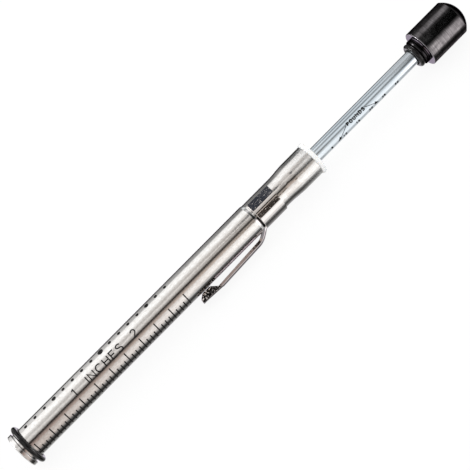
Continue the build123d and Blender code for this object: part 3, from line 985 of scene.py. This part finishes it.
# %% [markdown]
# ## How a card works
#
# What makes turned metal look like metal is the pattern that it mirrors. Here it mirrors glowing cards
# that stand round the tool and that only reflections see. A turned surface at a share u of its
# half-width, counted from the middle towards the clip, mirrors what stands 2·asin(u) away from the
# camera's direction. So a card is placed by the shares between which it should be seen, and its tones
# run across it by shares as well. It may also change its colour along the tool, from the foot's end on.

# %% Card maker
STRIPS_PER_SHARE = 40


def card_paint(name, stops, near_colour, far_colour):
    """Glowing card: its tones run across it, and its colour changes along it."""
    made = bpy.data.materials.new(name)
    made.use_nodes = True
    tree = made.node_tree
    tree.nodes.clear()
    across = add(tree, "ShaderNodeAttribute", {"attribute_name": "across"})
    along_it = add(tree, "ShaderNodeAttribute", {"attribute_name": "along"})
    shine = add(tree, "ShaderNodeMixShader", Fac=along_it.outputs["Fac"])
    for place, colour in ((1, near_colour), (2, far_colour)):
        tones = paint_ramp(tree, across.outputs["Fac"], stops, colour)
        glow = add(tree, "ShaderNodeEmission", Color=tones, Strength=1.0)
        tree.links.new(glow.outputs["Emission"], shine.inputs[place])
    out = add(tree, "ShaderNodeOutputMaterial")
    tree.links.new(shine.outputs["Shader"], out.inputs["Surface"])
    return made


def only_in_reflections(card):
    """Hides a card from everything but the gloss of metal, rubber and nylon."""
    card.visible_camera = card.visible_diffuse = card.visible_shadow = False
    card.visible_transmission = card.visible_volume_scatter = False


def bent_card(name, reach, stops, near_colour=(1, 1, 1), far_colour=None, distance=TENT_RADIUS):
    """A card round the tool, between two shares of the tool's half-width."""
    first, last = stops[0][0], stops[-1][0]
    steps = max(2, math.ceil((last - first) * STRIPS_PER_SHARE))
    corners, across, along_it = [], [], []
    for step in range(steps + 1):
        part = step / steps
        angle = 2 * math.asin(first + (last - first) * part)
        out = (face_side * math.cos(angle) + clip_side * math.sin(angle)) * distance
        for end in (0, 1):
            corners.append(tuple(out + tool_way * reach[end]))
            across.append(part)
            along_it.append(end)
    faces = [(2 * k, 2 * k + 1, 2 * k + 3, 2 * k + 2) for k in range(steps)]
    mesh = bpy.data.meshes.new(name)
    mesh.from_pydata(corners, [], faces)
    mesh.attributes.new("across", "FLOAT", "POINT").data.foreach_set("value", across)
    mesh.attributes.new("along", "FLOAT", "POINT").data.foreach_set("value", along_it)
    mesh.materials.append(card_paint(name, stops, near_colour, far_colour or near_colour))
    card = bpy.data.objects.new(name, mesh)
    bpy.context.scene.collection.objects.link(card)
    only_in_reflections(card)
    print(name, "tones", len(stops))


def grey(tone, warmth=0.0):
    """A grey as a colour. Warmth takes green and blue away."""
    return (tone, tone * (1 - warmth), tone * (1 - 1.8 * warmth))


print("cards stand at m", TENT_RADIUS)

# %% [markdown]
# ## The studio round the tool
#
# The cards stand a little over half a metre away. The line of sight leans along the tool, so each part of
# the tool mirrors its own stretch of the studio: the barrel, the rod and the knob have cards of their
# own, one after the other. Read from the far side over the camera to the near side, the barrel sees a
# wall, a bright window, the ceiling, the dark camera, a warm wall and the floor. The rod sees finer
# stripes, as a mirror of its drawn lines. The black knob sees two lights and a bright edge in the dark.

# %% Large cards
by_barrel, by_rod, by_knob = (-0.12, 0.222), (0.222, 0.32), (0.32, 0.75)
bent_card("far_wall", by_barrel, [(-0.99, 0.02), (-0.95, 0.05), (-0.91, 0.56), (-0.77, 0.78)],
          grey(1.35), grey(0.15))
bent_card("window", by_barrel, [(-0.77, 0.5), (-0.73, 1.0), (-0.65, 1.2), (-0.5, 1.2), (-0.43, 0.9)],
          grey(1.05), grey(0.95))
bent_card("ceiling", by_barrel, [(-0.43, 0.85), (-0.38, 0.72), (-0.3, 0.55), (-0.2, 0.84), (-0.1, 0.5),
                                 (-0.04, 0.2)], grey(1.08, 0.015), grey(1.04, 0.05))
bent_card("camera_and_arm", by_barrel, [(-0.04, 0.14), (0.0, 0.01), (0.05, 0.02), (0.09, 0.17),
                                        (0.13, 0.29), (0.24, 0.49)], (0.80, 0.56, 0.50), grey(1.9, 0.12))
bent_card("near_wall", by_barrel, [(0.24, 0.6), (0.3, 0.82), (0.42, 0.97), (0.54, 0.92), (0.64, 0.5)],
          (0.50, 0.412, 0.37), grey(1.5, 0.01))
bent_card("floor_in_shade", by_barrel, [(0.64, 0.36), (0.71, 0.08), (0.8, 0.012), (0.86, 0.04)],
          (0.12, 0.09, 0.09), grey(3.5))
bent_card("floor_beyond", by_barrel, [(0.86, 0.11), (0.9, 0.2), (0.95, 0.36), (0.99, 0.6)])
bent_card("rod_far_wall", by_rod, [(-0.99, 0.06), (-0.94, 0.1), (-0.81, 0.95), (-0.68, 0.16),
                                   (-0.54, 0.95), (-0.38, 0.2), (-0.16, 1.05), (0.05, 0.2), (0.18, 0.6),
                                   (0.27, 0.95)], (0.96, 1, 1.03))
bent_card("rod_near_wall", by_rod, [(0.27, 0.85), (0.38, 1.05), (0.6, 1.15), (0.7, 0.95), (0.8, 0.55),
                                    (0.9, 0.6), (0.99, 0.8)], (0.99, 1, 1.01))
bent_card("knob_far_side", by_knob, [(-0.99, 0.06), (-0.74, 0.1), (-0.64, 0.7), (-0.52, 0.8),
                                     (-0.42, 0.12), (-0.3, 0.0), (0.1, 0.0)], (1, 0.97, 1))
bent_card("knob_near_side", by_knob, [(0.1, 0.0), (0.2, 0.4), (0.3, 1.6), (0.5, 2.0), (0.62, 1.9),
                                      (0.7, 0.3), (0.78, 0.03), (0.88, 0.06), (0.99, 1.4)],
          (1, 0.95, 0.97))

# %% [markdown]
# ## Small cards for single faces
#
# The clip's band was pressed flat on either side of its middle, and a flat shows one direction only over
# its whole width: two narrow dark cards make the dark fields there. The clip's arm is flat sheet as well
# and shows a third. The barrel slopes down to the groove below the band, so its slope looks further up
# the tool, to a small pale card of its own. The rings are round in section, so they mirror what stands
# beyond both ends of the tool, where two strong small lights draw an arc on each ring. A lilac card
# behind the tool colours the knob's underside, which is seen at a glancing angle.

# %% Small cards
IN_FRONT = TENT_RADIUS - 0.01
WELL_IN_FRONT = 0.4
bent_card("dark_for_far_flat", (0.15, 0.195), [(-0.335, 0.04), (-0.3, 0.05), (-0.225, 0.03)],
          (0.8, 0.9, 1.2), distance=IN_FRONT)
bent_card("dark_for_near_flat", (0.15, 0.195), [(0.15, 0.03), (0.19, 0.02), (0.215, 0.03)],
          (1.2, 0.9, 0.75), distance=IN_FRONT)
bent_card("grey_for_arm", (0.1, 0.16), [(-0.19, 0.62), (-0.17, 0.5), (-0.14, 0.5), (-0.12, 0.55)],
          grey(1.05, 0.04), grey(0.7, 0.06), distance=IN_FRONT)
bent_card("light_for_groove", (0.266, 0.285), [(-0.9, 0.6), (-0.7, 0.7), (-0.3, 0.6), (-0.08, 0.3)],
          distance=WELL_IN_FRONT)
bent_card("ring_light_foot_side", (-0.58, -0.34), [(-0.85, 0.1), (-0.78, 1), (-0.55, 1), (-0.45, 0.1)],
          grey(13))
bent_card("ring_light_knob_side", (0.77, 1.1), [(0.25, 0.1), (0.35, 1), (0.6, 1), (0.7, 0.1)], grey(9))


def card_behind(name, reach, half_angle_deg, colour):
    """A flat card straight behind the tool, as the camera sees it."""
    half = math.tan(math.radians(half_angle_deg)) * TENT_RADIUS
    corners = [tool_way * x + clip_side * side * half - face_side * TENT_RADIUS
               for x, side in ((reach[0], -1), (reach[1], -1), (reach[1], 1), (reach[0], 1))]
    card = plain_sheet(name, corners, card_paint(name, [(0, 1), (1, 1)], colour, colour))
    only_in_reflections(card)


card_behind("lilac_behind", (0.0, 0.2), 18, (1.15, 1.07, 1.2))
print("stage is set")

# %% [markdown]
# ## Sizes
#
# The solids' own box is written out, in millimetres. The finished model has to stay inside the
# solids' own box.

# %% Write the solids' box and finish
print("cad box mm", [[round(c / MM, 3) for c in corner] for corner in cad_box])
